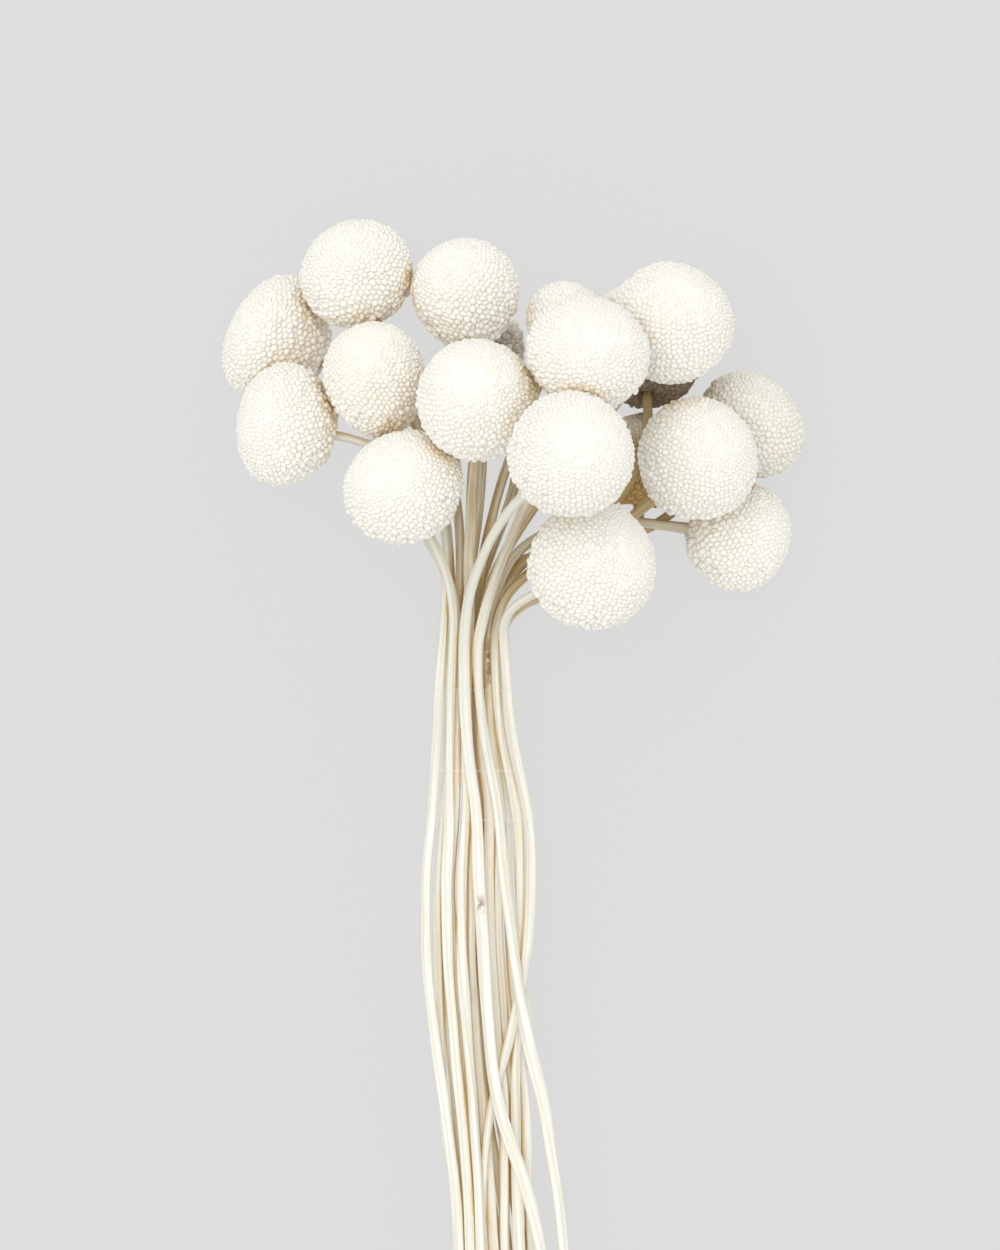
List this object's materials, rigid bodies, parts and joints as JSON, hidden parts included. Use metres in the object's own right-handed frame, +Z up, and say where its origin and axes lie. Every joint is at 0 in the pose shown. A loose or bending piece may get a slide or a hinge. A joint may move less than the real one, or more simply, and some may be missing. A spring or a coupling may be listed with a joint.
{
  "type": "bunch of dried billy buttons",
  "caption": "Lying bunch of bleached dried billy buttons: round beaded flower heads on long, thin, gently wavy stems, held by clear tape; a dried bouquet filler.",
  "frame": {"origin": "on the surface that the bunch lies on, under the middle of its box", "axes": "+Y from the cut ends to the flower heads, +X to the right seen from above with the heads up, +Z up out of the surface"},
  "size_m": [0.1294, 0.4202, 0.0928],
  "materials": {
    "flower_head": "dry, matt, bleached ivory florets",
    "stem": "dry, bleached cream stalk with a low sheen",
    "clear_tape": "clear glossy film"
  },
  "bodies": {
    "root": {"flower_head_01": "flower_head", "flower_head_02": "flower_head", "flower_head_03": "flower_head", "flower_head_04": "flower_head", "flower_head_05": "flower_head", "flower_head_06": "flower_head", "flower_head_07": "flower_head", "flower_head_08": "flower_head", "flower_head_09": "flower_head", "flower_head_10": "flower_head", "flower_head_11": "flower_head", "flower_head_12": "flower_head", "flower_head_13": "flower_head", "flower_head_14": "flower_head", "flower_head_15": "flower_head", "flower_head_16": "flower_head", "flower_head_17": "flower_head", "flower_head_18": "flower_head", "stem_01": "stem", "stem_02": "stem", "stem_03": "stem", "stem_04": "stem", "stem_05": "stem", "stem_06": "stem", "stem_07": "stem", "stem_08": "stem", "stem_09": "stem", "stem_10": "stem", "stem_11": "stem", "stem_12": "stem", "stem_13": "stem", "stem_14": "stem", "stem_15": "stem", "stem_16": "stem", "stem_17": "stem", "stem_18": "stem", "clear_tape": "clear_tape"}
  },
  "joints": []
}
